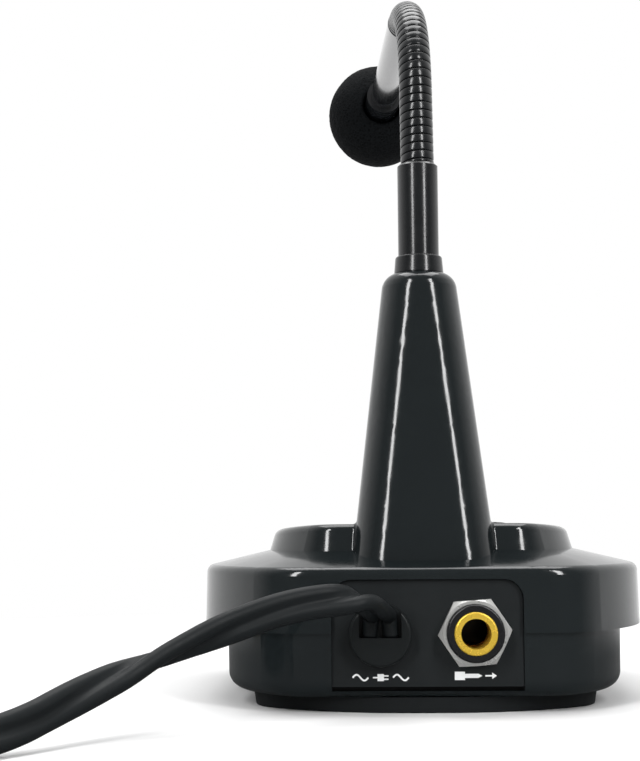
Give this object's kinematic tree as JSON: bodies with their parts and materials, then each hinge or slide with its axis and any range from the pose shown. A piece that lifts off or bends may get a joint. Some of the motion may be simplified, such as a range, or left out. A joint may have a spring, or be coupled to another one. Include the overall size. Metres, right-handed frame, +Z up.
{
  "type": "gooseneck desk microphone",
  "caption": "Desk paging microphone: weighted base with a tapering column, gooseneck, level stem and ball windscreen; jack socket and mains cord at the rear.",
  "frame": {"origin": "centre of the base pad's bottom face, on the surface the microphone stands on", "axes": "+Z up, +Y out of the rear panel, -Y towards the user, +X to the left seen from behind"},
  "size_m": [0.2424, 0.2425, 0.1897],
  "materials": {
    "shell_gloss": "glossy moulded ABS",
    "panel_matte": "fine matte texture",
    "pad_rubber": "matte foam rubber",
    "weight_steel": "plain steel",
    "screw_steel": "zinc plated",
    "jack_black": "moulded thread",
    "sleeve_gold": "gold flashed",
    "nut_nickel": "nickel plated",
    "contact_brass": "sprung brass",
    "relief_black": "moulded nylon",
    "neck_black": "black semi-gloss",
    "stem_black": "black gloss",
    "capsule_metal": "pressed can",
    "boot_rubber": "soft rubber",
    "grille_metal": "blackened",
    "foam_black": "open-cell foam",
    "core_steel": "laminated",
    "winding_tape": "yellow tape",
    "board_green": "solder mask",
    "board_parts": "moulded parts",
    "print_white": "screen print",
    "button_dark": "satin",
    "knob_dark": "satin",
    "lamp_red": "clear red",
    "lead_pvc": "PVC",
    "cord_pvc": "satin PVC",
    "plug_pvc": "satin PVC"
  },
  "bodies": {
    "base": {"upper_shell": "shell_gloss", "lower_shell": "shell_gloss", "rear_panel": "panel_matte", "base_pad": "pad_rubber", "base_weight": "weight_steel", "case_screws": "screw_steel", "jack_body": "jack_black", "jack_sleeve": "sleeve_gold", "jack_nut": "nut_nickel", "jack_contacts": "contact_brass", "strain_relief": "relief_black", "strain_relief_key": "relief_black", "neck_collar": "neck_black", "neck_tube": "neck_black", "neck_nut": "nut_nickel", "neck_length_1": "neck_black", "neck_lead_1": "lead_pvc", "transformer_core": "core_steel", "transformer_winding": "winding_tape", "transformer_bracket": "core_steel", "circuit_board": "board_green", "board_parts": "board_parts", "board_screws": "screw_steel", "talk_switch": "board_parts", "volume_pot": "core_steel", "power_switch": "panel_matte", "power_lamp": "lamp_red", "mains_leads": "lead_pvc", "output_leads": "lead_pvc", "microphone_lead": "lead_pvc", "mains_cord": "cord_pvc", "mains_cord_coil": "cord_pvc", "mains_cord_tail": "cord_pvc", "plug_body": "plug_pvc", "plug_blades": "contact_brass"},
    "neck_2": {"neck_length_2": "neck_black", "neck_lead_2": "lead_pvc"},
    "neck_3": {"neck_length_3": "neck_black", "neck_lead_3": "lead_pvc"},
    "neck_4": {"neck_length_4": "neck_black", "neck_lead_4": "lead_pvc"},
    "neck_5": {"neck_length_5": "neck_black", "neck_lead_5": "lead_pvc"},
    "neck_6": {"neck_length_6": "neck_black", "neck_lead_6": "lead_pvc"},
    "boom": {"neck_length_7": "neck_black", "neck_lead_7": "lead_pvc", "stem": "stem_black", "capsule_housing": "stem_black", "capsule": "capsule_metal", "capsule_boot": "boot_rubber", "capsule_grille": "grille_metal", "windscreen": "foam_black"},
    "talk": {"talk_button": "button_dark"},
    "volume": {"volume_knob": "knob_dark", "volume_shaft": "screw_steel"},
    "power": {"power_rocker": "button_dark"}
  },
  "joints": [
    {"name": "neck_nod_1", "type": "hinge", "parent": "base", "child": "neck_2", "pos_m": [0.00003, 0.0355, 0.13255], "axis": [0.9978, 0.0663, 0], "range_deg": [-15, 10]},
    {"name": "neck_swing_2", "type": "hinge", "parent": "neck_2", "child": "neck_3", "pos_m": [0.0001, 0.03449, 0.14304], "axis": [0.066, -0.9932, -0.0958], "range_deg": [-12, 12]},
    {"name": "neck_nod_3", "type": "hinge", "parent": "neck_3", "child": "neck_4", "pos_m": [0.00023, 0.0326, 0.15337], "axis": [0.9978, 0.0663, 0], "range_deg": [-15, 10]},
    {"name": "neck_nod_4", "type": "hinge", "parent": "neck_4", "child": "neck_5", "pos_m": [0.00057, 0.02743, 0.16249], "axis": [0.9978, 0.0663, 0], "range_deg": [-15, 10]},
    {"name": "neck_swing_5", "type": "hinge", "parent": "neck_5", "child": "neck_6", "pos_m": [0.0011, 0.01944, 0.16927], "axis": [0.0333, -0.5019, -0.8643], "range_deg": [-12, 12]},
    {"name": "neck_nod_6", "type": "hinge", "parent": "neck_6", "child": "boom", "pos_m": [0.00175, 0.00962, 0.17288], "axis": [0.9978, 0.0663, 0], "range_deg": [-15, 10]},
    {"name": "talk_press", "type": "slide", "parent": "base", "child": "talk", "axis": [0, 0.0523, -0.9986], "range_m": [0, 0.0015], "stiffness_N_per_m": 800, "springref_m": -0.0012},
    {"name": "volume_turn", "type": "hinge", "parent": "base", "child": "volume", "pos_m": [-0.017, -0.012, 0.03836], "axis": [0, -0.0523, 0.9986], "range_deg": [-150, 150]},
    {"name": "power_rock", "type": "hinge", "parent": "base", "child": "power", "pos_m": [0.017, -0.0119, 0.03636], "axis": [-1, 0, 0], "range_deg": [0, 16]}
  ]
}
